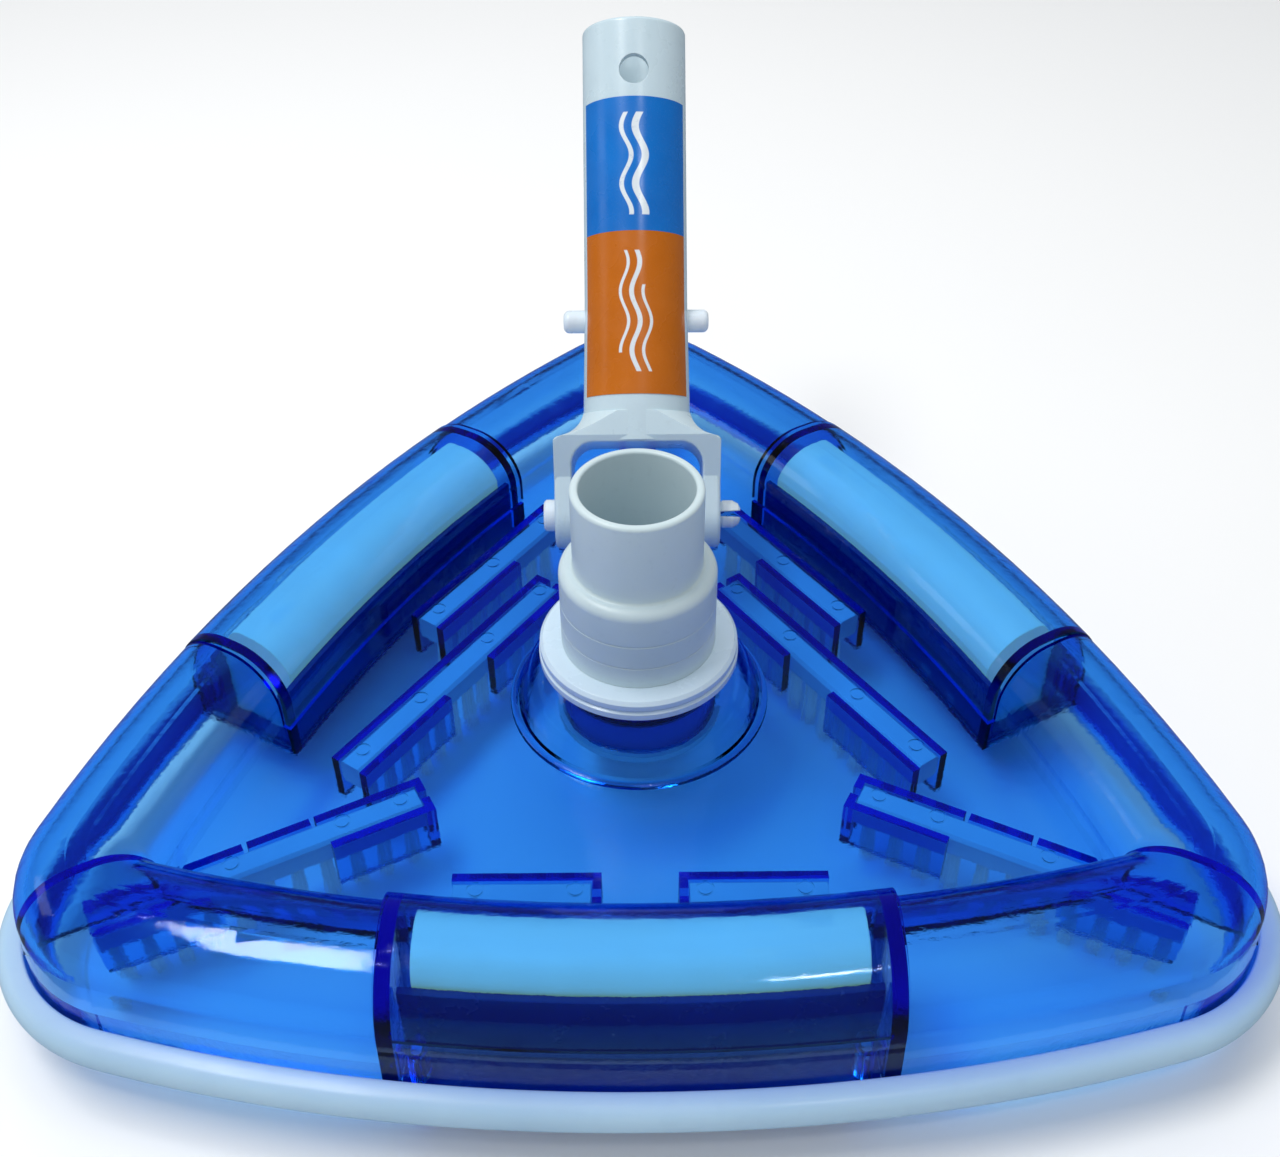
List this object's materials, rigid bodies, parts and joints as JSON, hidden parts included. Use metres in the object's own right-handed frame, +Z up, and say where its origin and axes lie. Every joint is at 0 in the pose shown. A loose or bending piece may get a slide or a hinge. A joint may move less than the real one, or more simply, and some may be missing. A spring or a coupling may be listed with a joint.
{
  "type": "manual vacuum head",
  "caption": "Triangular weighted pool vacuum head: clear blue shell with brushes beneath, soft bumper ring, swivelling stepped hose spigot and tilting snap-button pole socket.",
  "frame": {"origin": "on the hose swivel's axis, in the plane of the bumper's underside", "axes": "+Z up along the hose spigot, +Y towards the corner with the pole socket, +X along the pivot pin"},
  "size_m": [0.2964, 0.2819, 0.1601],
  "materials": {
    "shell_blue": "clear blue moulded plastic",
    "bumper_vinyl": "soft satin vinyl",
    "weight_coat": "pale satin coating",
    "cover_blue": "clear blue moulded plastic",
    "screw_steel": "plain steel",
    "bar_white": "moulded, satin",
    "bristle_pale": "nylon filament",
    "spigot_cream": "moulded, semi-gloss",
    "collar_white": "moulded, semi-gloss",
    "seal_rubber": "smooth",
    "retainer_white": "moulded",
    "yoke_cream": "moulded, glossy",
    "pin_white": "moulded, satin",
    "button_white": "moulded, satin",
    "spring_plastic": "moulded acetal",
    "label_orange": "printed film",
    "label_blue": "printed film"
  },
  "bodies": {
    "head": {"deck_shell": "shell_blue", "bumper": "bumper_vinyl", "weight_front": "weight_coat", "weight_left": "weight_coat", "weight_right": "weight_coat", "weight_cover_front": "cover_blue", "weight_cover_left": "cover_blue", "weight_cover_right": "cover_blue", "cover_screws": "screw_steel", "brush_bar_front_left": "bar_white", "brush_bar_front_right": "bar_white", "brush_bar_corner_left": "bar_white", "brush_bar_corner_right": "bar_white", "brush_bar_corner_back": "bar_white", "brush_bar_long_left": "bar_white", "brush_bar_long_right": "bar_white", "brush_bar_short_left": "bar_white", "brush_bar_short_right": "bar_white", "bristles_front_left": "bristle_pale", "bristles_front_right": "bristle_pale", "bristles_corner_left": "bristle_pale", "bristles_corner_right": "bristle_pale", "bristles_corner_back": "bristle_pale", "bristles_long_left": "bristle_pale", "bristles_long_right": "bristle_pale", "bristles_short_left": "bristle_pale", "bristles_short_right": "bristle_pale"},
    "hose": {"hose_swivel": "spigot_cream", "swivel_collar": "collar_white", "swivel_seal": "seal_rubber", "swivel_retainer": "retainer_white"},
    "handle": {"handle_yoke": "yoke_cream", "pivot_pin": "pin_white", "spring_clip": "spring_plastic", "label_lower": "label_orange", "label_upper": "label_blue"},
    "button_left": {"snap_button_left": "button_white"},
    "button_right": {"snap_button_right": "button_white"}
  },
  "joints": [
    {"name": "handle_tilt", "type": "hinge", "parent": "head", "child": "handle", "pos_m": [0, 0.042, 0.04], "axis": [1, 0, 0], "range_deg": [-35, 45]},
    {"name": "hose_spin", "type": "hinge", "parent": "head", "child": "hose", "pos_m": [0, 0, 0.05], "axis": [0, 0, 1], "continuous": true},
    {"name": "snap_right", "type": "slide", "parent": "handle", "child": "button_right", "axis": [-1, 0, 0], "range_m": [0, 0.006], "deforming": ["spring_clip"]},
    {"name": "snap_left", "type": "slide", "parent": "handle", "child": "button_left", "axis": [1, 0, 0], "range_m": [0, 0.006]}
  ],
  "couplings": [
    {"joint": "snap_left", "follows": "snap_right", "ratio": 1}
  ]
}
